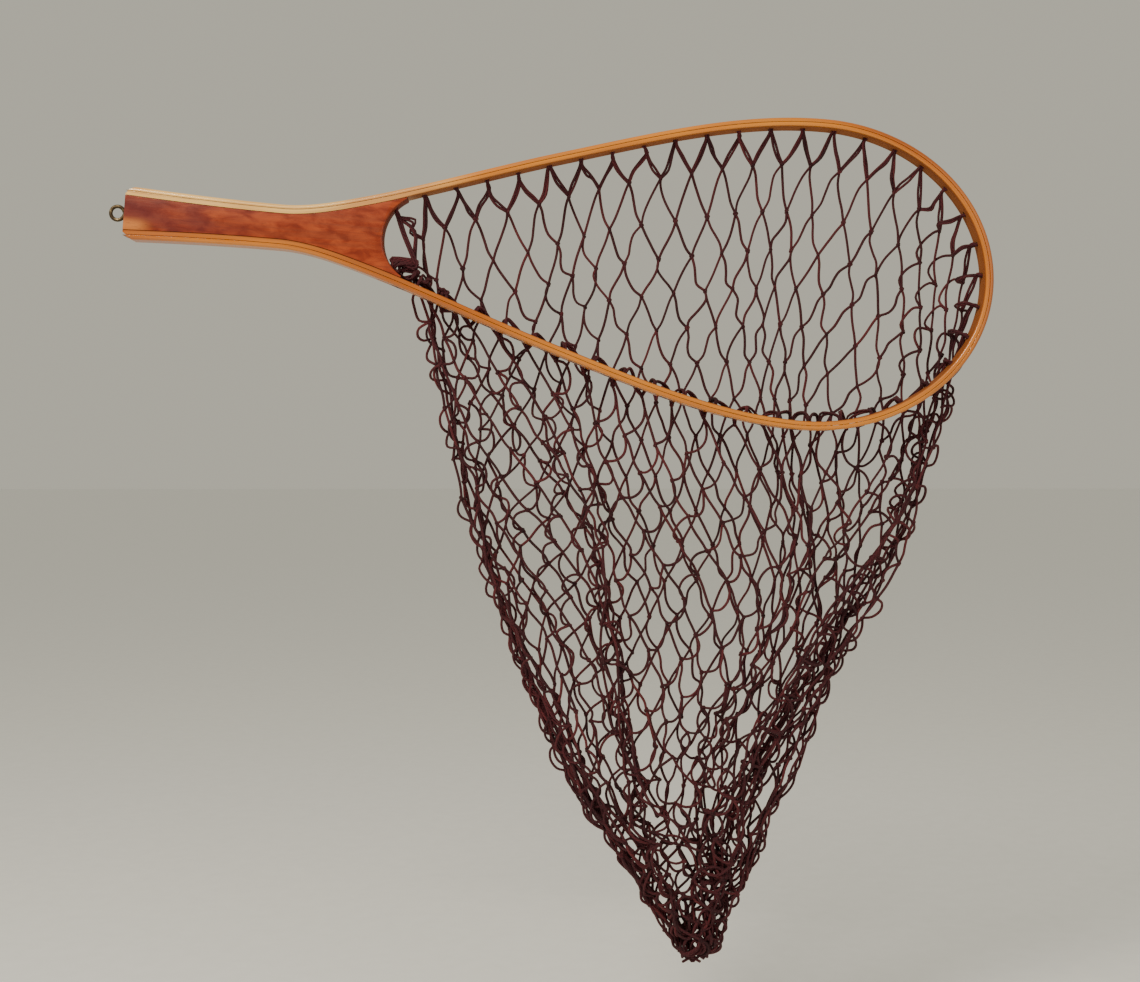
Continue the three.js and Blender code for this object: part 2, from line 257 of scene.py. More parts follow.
def tubes(lines, radius, sides, tints):
    """Round tubes with closed ends along lines (count, steps, 3): points, faces, twist map, tints."""
    count, steps, _ = lines.shape
    radius = np.broadcast_to(radius, (count, steps))
    tangent = unit(np.gradient(lines, axis=1))
    helper = np.tile([0.31, 0.83, 0.47], (count, 1))
    normal = np.empty_like(lines)
    for k in range(steps):
        helper = unit(helper - (helper * tangent[:, k]).sum(1, keepdims=True) * tangent[:, k])
        normal[:, k] = helper
    across = np.cross(tangent, normal)
    turn = 2 * math.pi * np.arange(sides) / sides
    ring = (normal[:, :, None] * np.cos(turn)[:, None] + across[:, :, None] * np.sin(turn)[:, None])
    body = lines[:, :, None] + radius[:, :, None, None] * ring
    ends = [lines[:, k] + s * tangent[:, k] * radius[:, k, None] * 0.6 for k, s in ((0, -1), (-1, 1))]
    per_line = steps * sides + 2
    points = np.concatenate([body.reshape(count, -1, 3), np.stack(ends, 1)], axis=1).reshape(-1, 3)

    step, side = np.meshgrid(np.arange(steps - 1), np.arange(sides), indexing="ij")
    following = (side + 1) % sides
    quad = np.stack([step * sides + side, step * sides + following,
                     (step + 1) * sides + following, (step + 1) * sides + side], -1).reshape(-1, 4)
    start_cap = np.stack([np.full(sides, steps * sides), (np.arange(sides) + 1) % sides,
                          np.arange(sides)], -1)
    last = (steps - 1) * sides
    end_cap = np.stack([np.full(sides, steps * sides + 1), last + np.arange(sides),
                        last + (np.arange(sides) + 1) % sides], -1)
    offset = (np.arange(count) * per_line)[:, None, None]
    quads = (quad[None] + offset).reshape(-1, 4)
    caps = (np.concatenate([start_cap, end_cap])[None] + offset).reshape(-1, 3)

    along = np.concatenate([np.zeros((count, 1)),
                            np.cumsum(np.linalg.norm(np.diff(lines, axis=1), axis=2), axis=1)], axis=1)
    along += (np.arange(count) * 7.3)[:, None]
    v = np.stack([side, side + 1, side + 1, side], -1).reshape(-1, 4) / sides
    k = np.stack([step, step, step + 1, step + 1], -1).reshape(-1, 4)
    quad_map = np.stack([along[:, k], np.broadcast_to(v, (count,) + v.shape)], -1).reshape(-1, 2)
    cap_map = np.stack([np.broadcast_to(along[:, :1], (count, 6 * sides)),
                        np.zeros((count, 6 * sides))], -1).reshape(-1, 2)
    tint = np.repeat(tints, per_line)
    return points, [quads, caps], np.concatenate([quad_map, cap_map]), tint


def faces_between(rings, around):
    """Quads from ring to ring of points, and a cap on the first and the last ring."""
    k, j = np.meshgrid(np.arange(rings - 1), np.arange(around), indexing="ij")
    following = (j + 1) % around
    quads = np.stack([k * around + j, (k + 1) * around + j, (k + 1) * around + following,
                      k * around + following], -1).reshape(-1, 4)
    return [quads, np.arange(around)[None], ((rings - 1) * around + np.arange(around)[::-1])[None]]


def twine_object(name, bundles):
    """One mesh of twine from several bundles of tubes()."""
    points, quads, caps, quad_maps, cap_maps, tints = [], [], [], [], [], []
    base = 0
    for bundle_points, (bundle_quads, bundle_caps), bundle_map, bundle_tint in bundles:
        points.append(bundle_points)
        quads.append(bundle_quads + base)
        caps.append(bundle_caps + base)
        corner_count = bundle_quads.size
        quad_maps.append(bundle_map[:corner_count])
        cap_maps.append(bundle_map[corner_count:])
        tints.append(bundle_tint)
        base += len(bundle_points)
    obj = mesh_object(name, np.vstack(points), [np.vstack(quads), np.vstack(caps)],
                      {"twist": np.vstack(quad_maps + cap_maps)}, {"tint": np.concatenate(tints)})
    obj.data.materials.append(twine_material)
    return obj


# ---- Materials -------------------------------------------------------------------------------


class Look:
    """A node material: add() makes a node and links or sets its inputs by name or number."""

    def __init__(self, name, roughness, metallic=0.0):
        self.material = bpy.data.materials.new(name)
        self.material.use_nodes = True
        self.tree = self.material.node_tree
        self.shader = self.tree.nodes["Principled BSDF"]
        self.shader.inputs["Roughness"].default_value = roughness
        self.shader.inputs["Metallic"].default_value = metallic

    def put(self, socket, value):
        if isinstance(value, bpy.types.NodeSocket):
            self.tree.links.new(value, socket)
        else:
            socket.default_value = value

    def add(self, kind, inputs, output=0, **settings):
        node = self.tree.nodes.new("ShaderNode" + kind)
        for key, value in settings.items():
            setattr(node, key, value)
        for key, value in inputs.items():
            self.put(node.inputs[key], value)
        return node.outputs[output]

    def parts(self, vector):
        """A vector's three numbers, each as a socket."""
        return self.add("SeparateXYZ", {0: vector}).node.outputs

    def math(self, operation, *values):
        return self.add("Math", dict(enumerate(values)), operation=operation)

    def noise(self, vector, scale, detail=3.0, roughness=0.55, distortion=0.0):
        return self.add("TexNoise", {"Vector": vector, "Scale": scale, "Detail": detail,
                                     "Roughness": roughness, "Distortion": distortion})

    def scaled(self, vector, factors):
        return self.add("VectorMath", {0: vector, 1: factors}, operation="MULTIPLY")

    def ramp(self, value, stops):
        node = self.tree.nodes.new("ShaderNodeValToRGB")
        node.color_ramp.elements[0].position = stops[0][0]
        node.color_ramp.elements[0].color = (*stops[0][1], 1)
        node.color_ramp.elements[1].position = stops[-1][0]
        node.color_ramp.elements[1].color = (*stops[-1][1], 1)
        for position, colour in stops[1:-1]:
            node.color_ramp.elements.new(position).color = (*colour, 1)
        self.put(node.inputs[0], value)
        return node.outputs[0]

    def range(self, value, low, high, to_low=0.0, to_high=1.0):
        return self.add("MapRange", {0: value, 1: low, 2: high, 3: to_low, 4: to_high},
                        interpolation_type="SMOOTHSTEP")

    def mix(self, factor, a, b, blend="MIX"):
        node = self.tree.nodes.new("ShaderNodeMix")
        node.data_type = "RGBA"
        node.blend_type = blend
        for index, value in ((0, factor), (6, a), (7, b)):
            if isinstance(value, tuple):
                value = (*value, 1)
            self.put(node.inputs[index], value)
        return node.outputs[2]

    def finish(self, colour, roughness=None, height=None, relief=0.0002, strength=0.5):
        self.put(self.shader.inputs["Base Color"], colour)
        if roughness is not None:
            self.put(self.shader.inputs["Roughness"], roughness)
        if height is not None:
            normal = self.add("Bump", {"Strength": strength, "Distance": relief, "Height": height})
            self.put(self.shader.inputs["Normal"], normal)
        return self.material


def grain_coordinates(look, stretch):
    """Grain runs along the wood: the maps hold (along, y) and (across, on an edge), in metres."""
    along, y, _ = look.parts(look.add("UVMap", {}, uv_map="grain"))
    across, on_edge, _ = look.parts(look.add("UVMap", {}, uv_map="section"))
    place = look.add("CombineXYZ", {0: along, 1: y, 2: across})
    return look.scaled(place, stretch), place, along, across, on_edge


def varnish(look, dull, amount, roughness, specular):
    """A clear coat that is left off where dull is 1."""
    look.put(look.shader.inputs["Coat Weight"], look.math("MULTIPLY_ADD", dull, -amount, amount))
    look.shader.inputs["Coat Roughness"].default_value = roughness
    look.shader.inputs["Specular IOR Level"].default_value = specular


def make_strip_wood():
    """Steam-bent ash under amber varnish: long pores, redder patches, a brown glue line, and painted
    shade on the hoop's inner face.
    """
    look = Look("varnished_ash", 0.3)
    fine, place, at, across, _ = grain_coordinates(look, (9.0, 900.0, 900.0))
    streaks = look.noise(fine, 1.0, detail=5, roughness=0.62, distortion=0.4)
    slow = look.noise(look.scaled(place, (3.5, 70.0, 70.0)), 1.0, detail=3)
    patches = look.noise(look.scaled(place, (9.0, 25.0, 25.0)), 1.0, detail=2)
    pores = look.noise(look.scaled(place, (45.0, 2600.0, 2600.0)), 1.0, detail=2)
    base = look.ramp(look.range(slow, 0.3, 0.7), [
        (0.0, (0.30, 0.060, 0.002)), (0.45, (0.48, 0.125, 0.005)), (1.0, (0.68, 0.230, 0.016))])
    handle = look.range(at, 0.16, 0.24, 1.0, 0.0)
    pale = look.mix(look.math("MULTIPLY", handle, 0.85), base, (0.93, 0.60, 0.20))
    line = look.mix(look.range(streaks, 0.47, 0.68, 0.0, 0.5), pale, (0.36, 0.12, 0.022))
    red = look.mix(look.range(patches, 0.52, 0.74, 0.0, 0.55), line, (0.44, 0.105, 0.018))
    dots = look.mix(look.range(pores, 0.62, 0.74, 0.0, 0.45), red, (0.16, 0.05, 0.012))
    glue = look.range(across, (STRIP - 0.02) * MM, (STRIP + 0.05) * MM)
    second = look.range(across, (INNER_FACE - 0.02) * MM, (INNER_FACE + 0.05) * MM)
    first_end = look.range(across, (STRIP + GLUE - 0.05) * MM, (STRIP + GLUE + 0.02) * MM, 1.0, 0.0)
    in_line = look.math("MAXIMUM", look.math("MULTIPLY", glue, first_end),
                        look.math("MULTIPLY", second, handle))
    colour = look.mix(look.math("MULTIPLY", in_line, 0.4), dots, (0.10, 0.032, 0.010))
    # Painted shade: the hoop's inner face is coloured dark brown for the shade it lies in, and its coat
    # is left off.
    inner_face = look.range(across, (INNER_FACE - 0.8) * MM, (INNER_FACE - 0.1) * MM)
    bare_painted_shade = look.math("MULTIPLY", inner_face, look.range(at, 0.17, 0.19))
    colour = look.mix(look.math("MULTIPLY", bare_painted_shade, 0.8), colour, (0.19, 0.045, 0.008))
    roughness = look.math("ADD", look.range(streaks, 0.3, 0.7, 0.26, 0.42),
                          look.math("MULTIPLY", bare_painted_shade, 0.5))
    varnish(look, bare_painted_shade, amount=0.5, roughness=0.12, specular=0.3)
    return look.finish(colour, roughness, pores, relief=0.00012, strength=0.35)


def make_core_wood():
    """Red-brown mottled core: purple and sapwood near the butt, short pores, and a dull throat darkened
    with painted shade.
    """
    look = Look("varnished_core", 0.32)
    fine, place, at, across, on_edge = grain_coordinates(look, (14.0, 700.0, 380.0))
    streaks = look.noise(fine, 1.0, detail=5, roughness=0.6, distortion=0.5)
    mottle = look.noise(look.scaled(place, (70.0, 120.0, 170.0)), 1.0, detail=5, distortion=0.5)
    clouds = look.noise(look.scaled(place, (14.0, 30.0, 40.0)), 1.0, detail=2)
    pores = look.noise(look.scaled(place, (150.0, 1800.0, 1500.0)), 1.0, detail=3)
    base = look.ramp(look.range(mottle, 0.3, 0.72), [
        (0.0, (0.17, 0.016, 0.004)), (0.4, (0.26, 0.031, 0.005)), (1.0, (0.37, 0.056, 0.007))])
    line = look.mix(look.range(streaks, 0.45, 0.7, 0.0, 0.5), base, (0.17, 0.028, 0.010))
    butt = look.range(at, 0.035, 0.1, 1.0, 0.0)
    purple = look.math("MULTIPLY", butt, look.range(clouds, 0.45, 0.62, 0.0, 0.7))
    dark = look.mix(purple, line, (0.10, 0.014, 0.018))
    sap_end = look.range(at, 0.006, 0.022, 1.0, 0.0)
    sap_side = look.range(across, 0.001, 0.009, 0.0, 1.0)
    wavy = look.range(clouds, 0.35, 0.6, 0.55, 1.0)
    sap = look.math("MULTIPLY", look.math("MULTIPLY", sap_end, sap_side), wavy)
    pale = look.mix(sap, dark, (0.62, 0.21, 0.045))
    colour = look.mix(look.range(pores, 0.6, 0.75, 0.0, 0.5), pale, (0.09, 0.016, 0.008))
    # Painted shade: the core's edge faces, the throat's face among them, are darkened for the shade
    # they lie in, and left dull without coat.
    dull_edge_painted_shade = look.range(on_edge, 0.0, MM)
    colour = look.mix(look.math("MULTIPLY", dull_edge_painted_shade, 0.6), colour, (0.085, 0.014, 0.004))
    roughness = look.math("ADD", look.range(mottle, 0.3, 0.7, 0.28, 0.45),
                          look.math("MULTIPLY", dull_edge_painted_shade, 0.45))
    varnish(look, dull_edge_painted_shade, amount=0.3, roughness=0.2, specular=0.25)
    return look.finish(colour, roughness, pores, relief=0.00012, strength=0.4)


def make_brass():
    """Antique brass wire: brown patina, brighter where it is rubbed."""
    look = Look("antique_brass", 0.45, metallic=0.9)
    place = look.add("TexCoord", {}, output=3)
    patina = look.noise(place, 420.0, detail=5)
    pits = look.noise(place, 1900.0, detail=2)
    colour = look.ramp(look.range(patina, 0.35, 0.7), [
        (0.0, (0.055, 0.036, 0.020)), (0.6, (0.12, 0.085, 0.045)), (1.0, (0.30, 0.22, 0.12))])
    roughness = look.range(patina, 0.3, 0.7, 0.6, 0.36)
    return look.finish(colour, roughness, pits, relief=0.0001, strength=0.4)


def make_twine():
    """Twisted cotton twine dyed maroon, faded unevenly: the map holds (along mm, round 0 to 1)."""
    look = Look("maroon_twine", 0.82)
    along, around, _ = look.parts(look.add("UVMap", {}, uv_map="twist"))
    plies = 3.0
    lay = 2.1
    phase = look.math("ADD", look.math("MULTIPLY", along, lay),
                      look.math("MULTIPLY", around, 2 * math.pi * plies))
    strand = look.math("SINE", phase)
    tint = look.add("Attribute", {}, output=2, attribute_name="tint")
    place = look.add("TexCoord", {}, output=3)
    fade = look.noise(place, 38.0, detail=3)
    fibres = look.noise(place, 2600.0, detail=3)
    base = look.ramp(look.math("ADD", look.math("MULTIPLY", tint, 0.55),
                               look.math("MULTIPLY", fade, 0.45)), [
        (0.15, (0.020, 0.0024, 0.0060)), (0.5, (0.056, 0.0064, 0.0125)), (0.85, (0.135, 0.018, 0.024))])
    # Painted shade: the grooves between the plies are darkened.
    groove = look.mix(look.range(strand, -1.0, 0.2, 0.6, 0.0), base, (0.014, 0.004, 0.006))
    colour = look.mix(look.range(fibres, 0.5, 0.75, 0.0, 0.4), groove, (0.20, 0.085, 0.070))
    look.shader.inputs["Sheen Weight"].default_value = 0.05
    look.shader.inputs["Specular IOR Level"].default_value = 0.25
    look.shader.inputs["Sheen Roughness"].default_value = 0.5
    look.shader.inputs["Sheen Tint"].default_value = (0.75, 0.5, 0.5, 1)
    height = look.math("ADD", strand, look.math("MULTIPLY", fibres, 0.8))
    return look.finish(colour, None, height, relief=0.00016, strength=0.7)


strip_wood = make_strip_wood()
core_wood = make_core_wood()
brass = make_brass()
twine_material = make_twine()

# ---- Wooden pieces ---------------------------------------------------------------------------


def corner(depth, y, depth_sign, y_sign, radius, steps=4):
    """A rounded corner from the face at this depth to the face at this y, as (depth, y) arrays.

    A point just before and one just after the corner keep the faces beside it flat.
    """
    turn = np.linspace(0, math.pi / 2, steps + 1)
    lead = 0.12
    a = np.concatenate([[0], np.sin(turn), [1]])
    b = np.concatenate([[0], 1 - np.cos(turn), [1]])
    run = np.concatenate([[-lead], np.zeros(steps + 1), [0]])
    fall = np.concatenate([[0], np.zeros(steps + 1), [lead]])
    d = depth - depth_sign * (radius[:, None] * b + fall)
    w = y_sign * (y - radius[:, None] * (1 - a) + run)
    return d, w


def strip_section(near, far, outer, inner, groove, ledge):
    """The strip's section at every station, from its outer face round, as depths and ys.

    outer and inner are the corners' radii, groove is the groove's depth, and where ledge is 1 the
    inner face stands out a little to fill the glue line.
    """
    count = len(outer)
    hairline = 0.02
    fill = (GLUE - hairline) * ledge
    parts = []
    wall = GROOVE_WIDTH / 2
    for y, share in ((-wall - 0.5, 0), (-wall, 0.06), (-wall + 0.15, 0.9), (0, 1),
                     (wall - 0.15, 0.9), (wall, 0.06), (wall + 0.5, 0)):
        parts.append((near + groove[:, None] * share, np.full((count, 1), float(y))))
    parts.append(corner(near, HALF_DEPTH, -1, 1, outer))
    d, w = corner(far, HALF_DEPTH, 1, 1, inner)
    parts.append((d[:, ::-1], w[:, ::-1]))
    for sign in (1, -1):
        edge = HALF_DEPTH - inner - GLUE_RECESS
        parts.append((far + fill[:, None], sign * edge[:, None]))
    d, w = corner(far, HALF_DEPTH, 1, -1, inner)
    parts.append((d, w))
    d, w = corner(near, HALF_DEPTH, -1, -1, outer)
    parts.append((d[:, ::-1], w[:, ::-1]))
    return np.concatenate([p[0] for p in parts], 1), np.concatenate([p[1] for p in parts], 1)


def sweep(name, near, far, outer, inner, groove, ledge):
    """A strip bent round the whole frame, with chamfered and rounded ends at the butt."""
    depth, y = strip_section(near, far, outer, inner, groove, ledge)
    end = np.minimum(ALONG, ALONG[-1] - ALONG)[:, None]
    least = BUTT_CHAMFER - end
    soft = 0.4
    push = soft * np.logaddexp(0, (least - depth) / soft)
    depth = np.minimum(depth + push, far + 0.01)
    rounding = np.clip(1 - end / BUTT_ROUNDING, 0, 1)
    y = y * (1 - BUTT_ROUNDING / HALF_DEPTH * (1 - np.sqrt(1 - rounding**2)))
    places = POINTS[:, None] - NORMALS[:, None] * depth[..., None]
    points = to_space(places, y)
    faces = faces_between(*depth.shape)
    along = np.broadcast_to(ALONG[:, None], depth.shape).ravel()
    order = np.concatenate([f.ravel() for f in faces])
    maps = {
        "grain": np.stack([along[order], y.ravel()[order]], -1) * MM,
        "section": np.stack([depth.ravel()[order], np.zeros(len(order))], -1) * MM,
    }
    return mesh_object(name, points.reshape(-1, 3), faces, maps)


def plate(name, polygon, rounding):
    """A flat piece from its outline (at, across), with rounded edges on both faces."""
    steps = 5
    after = np.roll(polygon, -1, axis=0) - polygon
    before = polygon - np.roll(polygon, 1, axis=0)
    tangent = unit(unit(after) + unit(before))
    inward = np.stack([-tangent[:, 1], tangent[:, 0]], -1)
    turn = np.linspace(0, math.pi / 2, steps + 1)
    levels = [(1 - math.cos(a), math.sin(a)) for a in turn]
    rings, heights = [], []
    for cut, rise in levels[::-1]:
        rings.append(polygon + inward * (rounding * cut)[:, None])
        heights.append(-(HALF_DEPTH - rounding * (1 - rise)))
    for cut, rise in levels:
        rings.append(polygon + inward * (rounding * cut)[:, None])
        heights.append(HALF_DEPTH - rounding * (1 - rise))
    count = len(polygon)
    places = np.concatenate(rings)
    y = np.concatenate(heights)
    faces = faces_between(len(rings), count)
    order = np.concatenate([f.ravel() for f in faces])
    on_edge = np.isin(order // count, (steps, steps + 1))
    maps = {
        "grain": np.stack([places[order, 0], y[order]], -1) * MM,
        "section": np.stack([-places[order, 1], on_edge], -1) * MM,
    }
    return mesh_object(name, to_space(places, y), faces, maps)


def core_outline():
    """The core's outline, counterclockwise: butt, lower side, lower horn, throat arc, upper horn."""
    line = POINTS - NORMALS * CORE_FACE
    lower = line[len(line) // 2:][::-1]
    lower = lower[lower[:, 0] < HORN_END]
    start = math.acos((THROAT_CENTRE - lower[-1, 0]) / THROAT_RADIUS)
    turn = np.linspace(-start, start, 60)
    reach = THROAT_RADIUS
    arc = np.stack([THROAT_CENTRE - reach * np.cos(turn), reach * np.sin(turn)], -1)
    upper = lower[::-1] * [1, -1]
    butt = np.stack([np.zeros(9), np.linspace(upper[-1, 1], lower[0, 1], 11)[1:-1]], -1)
    polygon = np.vstack([lower, arc, upper, butt])
    half = np.interp(polygon[:, 0], lower[:, 0], -lower[:, 1])
    on_side = np.abs(np.abs(polygon[:, 1]) - half) < 0.05
    thickness = half - np.abs(polygon[:, 1])
    rounding = np.where(on_side, GLUE_ROUNDING, np.clip(thickness * 0.3, 0.15, THROAT_ROUNDING))
    rounding = np.where(polygon[:, 0] < 0.5, BUTT_ROUNDING, rounding)
    return polygon, rounding


SHARP_FROM = math.radians(35)


def drill(obj):
    """Cuts the netting's holes through a wooden piece."""
    inside, outside = 3.0, THROAT_HOLE_LENGTH + 3.0
    lines = np.stack([to_space(HOLE_PLACES - HOLE_NORMALS * inside, 0.0),
                      to_space(HOLE_PLACES + HOLE_NORMALS * outside, 0.0)], 1)
    points, faces, _, _ = tubes(lines, HOLE_RADIUS, 16, np.zeros(len(lines)))
    cutter = mesh_object("cutter", points, faces)
    modifier = obj.modifiers.new("holes", "BOOLEAN")
    modifier.object = cutter
    modifier.operation = "DIFFERENCE"
    modifier.solver = "MANIFOLD"
    bpy.context.view_layer.update()
    cut = bpy.data.meshes.new_from_object(obj.evaluated_get(bpy.context.evaluated_depsgraph_get()))
    obj.modifiers.clear()
    obj.data = cut
    cut.set_sharp_from_angle(angle=SHARP_FROM)
    bpy.data.objects.remove(cutter)


def hand_over(obj, material, node):
    """Gives a rigid piece its material and puts it on the frame in its CAD node's place."""
    obj.data.materials.clear()
    obj.data.materials.append(material)
    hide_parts(node)
    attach(obj, "frame")


def make_frame_wood():
    """Two strips with sharp glued edges, the inner one rounded on the hoop, and the core."""
    at = POINTS[:, 0]
    on_hoop = smoothstep(HORN_TIP - 14, HORN_TIP + 4, at)
    groove = GROOVE_DEPTH * smoothstep(THROAT_HOLE - 6, THROAT_HOLE - 1, at)
    glued = np.full(len(at), GLUE_ROUNDING)
    outer = sweep("strip_outer", 0.0, STRIP, np.full(len(at), OUTER_ROUNDING), glued,
                  groove, np.ones(len(at)))
    inner = sweep("strip_inner", STRIP + GLUE, INNER_FACE, glued,
                  GLUE_ROUNDING + (INNER_ROUNDING - GLUE_ROUNDING) * on_hoop,
                  np.zeros(len(at)), 1 - on_hoop)
    core = plate("core", *core_outline())
    for piece in (outer, inner, core):
        drill(piece)
    hand_over(outer, strip_wood, "outer_lamination")
    hand_over(inner, strip_wood, "inner_lamination")
    hand_over(core, core_wood, "handle_core")


def make_screw_eye():
    """A ring of wire, not quite closed, that turns into the screwed shank."""
    centre = -(EYE_RADIUS + EYE_WIRE + GLUE)
    open_gap, last_gap = math.radians(14), 0.12
    turn = np.linspace(open_gap, 2 * math.pi - last_gap, 60)
    ring = np.stack([centre + EYE_RADIUS * np.cos(turn), EYE_RADIUS * np.sin(turn)], -1)
    neck = centre + EYE_RADIUS
    bend = np.array([[neck + 0.9, -0.12], [neck + 2.2, 0.0]])
    shank = np.stack([np.linspace(1.5, EYE_SHANK, 12), np.zeros(12)], -1)
    line = to_space(np.vstack([ring, bend, shank]), 0.0)
    points, faces, _, _ = tubes(line[None], EYE_WIRE, 16, np.zeros(1))
    hand_over(mesh_object("eye", points, faces), brass, "screw_eye")


# ---- Netting: plan ---------------------------------------------------------------------------


EDGE_HEIGHTS, EDGE_LEFT, EDGE_RIGHT = np.array(BAG_EDGES[::-1], float).T
MOUTH_HEIGHT = EDGE_HEIGHTS[-1]


def bag_edges(z):
    """The bag's left and right edge at a height."""
    z = np.minimum(z, MOUTH_HEIGHT)
    return np.interp(z, EDGE_HEIGHTS, EDGE_LEFT), np.interp(z, EDGE_HEIGHTS, EDGE_RIGHT)


class Netting:
    """Rows of knots joined by bars. place is a knot's column round the rim, from 0 to 44."""

    def __init__(self):
        self.rows = [list(range(HOLE_COUNT))]
        self.place = [float(i) for i in range(HOLE_COUNT)]
        self.row = [0] * HOLE_COUNT
        self.bars = []
        for row in range(len(ROW_COUNTS) - 1):
            self.add_row(row)
        self.place = np.array(self.place)
        self.row = np.array(self.row)
        self.upper, self.lower, self.bar_row = (np.array(c) for c in zip(*self.bars))
        self.length = np.where(self.bar_row == 0, FIRST_LEG,
                               np.where(self.bar_row == 1, SECOND_BAR, BAR))
        self.length = np.where(self.bar_row >= TAIL_ROWS_FROM, TAIL_BAR, self.length)
        self.close_throat()
        angle = math.pi - (self.place + 0.5) * 2 * math.pi / HOLE_COUNT
        self.ring = np.stack([np.cos(angle), np.sin(angle)], -1)
        self.side = self.ring[:, 1]

    def add_row(self, row):
        """One row of knots under the last; where the net narrows, a knot takes in two meshes."""
        above = self.rows[-1]
        count = len(above)
        drop = count - ROW_COUNTS[row + 1]
        doubled = {int((k + 0.5 * (row % 2)) * count / drop) % count for k in range(drop)}
        knots = []
        j = 0
        while j < count:
            take = 2 if j in doubled and j + 1 < count else 1
            first, last = above[j], above[(j + take) % count]
            left, right = self.place[first], self.place[last]
            if right < left:
                right += HOLE_COUNT
            knot = len(self.place)
            middle = (left + right) / 2
            self.place.append(middle % HOLE_COUNT if middle < HOLE_COUNT - 0.25 else middle)
            self.row.append(row + 1)
            knots.append(knot)
            for m in range(take):
                self.bars.append((above[(j + m) % count], knot, row))
                self.bars.append((above[(j + m + 1) % count], knot, row))
            j += take
        self.rows.append(knots)

    def close_throat(self):
        """The mesh across the throat hangs on long legs from the two throat holes."""
        self.throat_knot = self.rows[1][-1]
        at_knot = self.lower == self.throat_knot
        self.length[at_knot & (self.upper == 0)] = UPPER_THROAT_LEG
        self.length[at_knot & (self.upper != 0)] = LOWER_THROAT_LEG


def waves(place, row, seed, count=9, round_turns=7, down=2.2):
    """Smooth noise over the netting, from a few seeded waves round it and down it."""
    random = np.random.default_rng(seed)
    total = np.zeros_like(place)
    for _ in range(count):
        turns = random.integers(1, round_turns + 1)
        slant = random.normal(0, down)
        start = random.uniform(0, 2 * math.pi)
        total += np.sin(2 * math.pi * turns * place / HOLE_COUNT + slant * row / 6 + start)
    return total / math.sqrt(count / 2)


# Where the netting bunches into folds: place across the bag, drift down the bag, width.
FOLDS = ((0.30, -0.04, 0.10), (0.64, 0.17, 0.11))
FRONT_FOLD, BACK_FOLD = 0.95, 0.45
FOLDS_FULL_AT = 70
DRIFT_FROM, DRIFT_OVER = -150, 300
# How far below the rim the bag's own width, its front wall's depth and its even spacing begin.
HANG_OVER, FRONT_HANG_OVER, SETTLE_OVER = 60, 14, 220


def folded(u, side, fall, depth):
    """Draws places across the bag, 0 to 1, together towards its folds."""
    amount = (FRONT_FOLD if side < 0 else BACK_FOLD) * min(fall / FOLDS_FULL_AT, 1)
    for place, drift, width in FOLDS:
        away = u - place - drift * depth
        u -= amount * away * math.exp(-((away / width) ** 2))
    return u


def planned_knots(net, random):
    """Where each knot would hang if the bag were laid out by hand: the simulation starts here."""
    tail_rows = len(ROW_COUNTS) - 1 - TAIL_ROWS_FROM
    steps = np.array([FIRST_LEG, SECOND_BAR] + [BAR] * (TAIL_ROWS_FROM - 2) + [TAIL_BAR] * tail_rows)
    ramp = np.arange(len(steps)) / (len(steps) - 1)
    slack = 0.88
    half_round = HOLE_COUNT / 2
    rim_left, rim_width = -90, 362
    knots = np.zeros((len(net.place), 3))
    for i, (place, row, side) in enumerate(zip(net.place, net.row, net.side)):
        k = int(place) % HOLE_COUNT
        x0, z0 = HOLES[k] + (HOLES[(k + 1) % HOLE_COUNT] - HOLES[k]) * (place % 1)
        drop = z0 - TAIL[2]
        excess = (slack * steps.sum() - drop) / (steps * ramp).sum()
        share = slack - excess * ramp if excess > 0 else np.full(len(steps), drop / steps.sum())
        fall = (steps * share)[:row].sum()
        z = z0 - fall
        top = np.clip((x0 - rim_left) / rim_width, 0, 1)
        from_throat = min(place + 0.5, HOLE_COUNT - 0.5 - place)
        even = from_throat / half_round
        settle = smoothstep(0, SETTLE_OVER, fall)
        u = top * (1 - settle) + np.clip(even, 0, 1) * settle
        left, right = bag_edges(z)
        u = folded(u, side, fall, np.clip((DRIFT_FROM - z) / DRIFT_OVER, 0, 1))
        hang = min(fall / HANG_OVER, 1)
        x = x0 * (1 - hang) + (left + u * (right - left)) * hang
        reach = HANG_OVER if side > 0 else FRONT_HANG_OVER
        y = (BAG_MIDDLE + side * BAG_BULGE) * min(1, fall / reach)
        knots[i] = (x, y, z)
    last = net.rows[-1]
    knots[last] = TAIL + np.stack([TAIL_HALF_WIDTH * net.ring[last, 0],
                                   TAIL_HALF_DEPTH * net.side[last], np.zeros(len(last))], -1)
    free = np.clip((net.row - 1) / 3, 0, 1) * np.clip((len(steps) - net.row) / 2, 0, 1)
    knots[:, 0] += free * (6 * waves(net.place, net.row, 4) + random.normal(0, 3.0, len(knots)))
    knots[:, 1] += free * 3.5 * waves(net.place, net.row, 3)
    knots[:, 2] += free * random.normal(0, 3.5, len(knots))
    return knots


# ---- Netting: simulation ---------------------------------------------------------------------


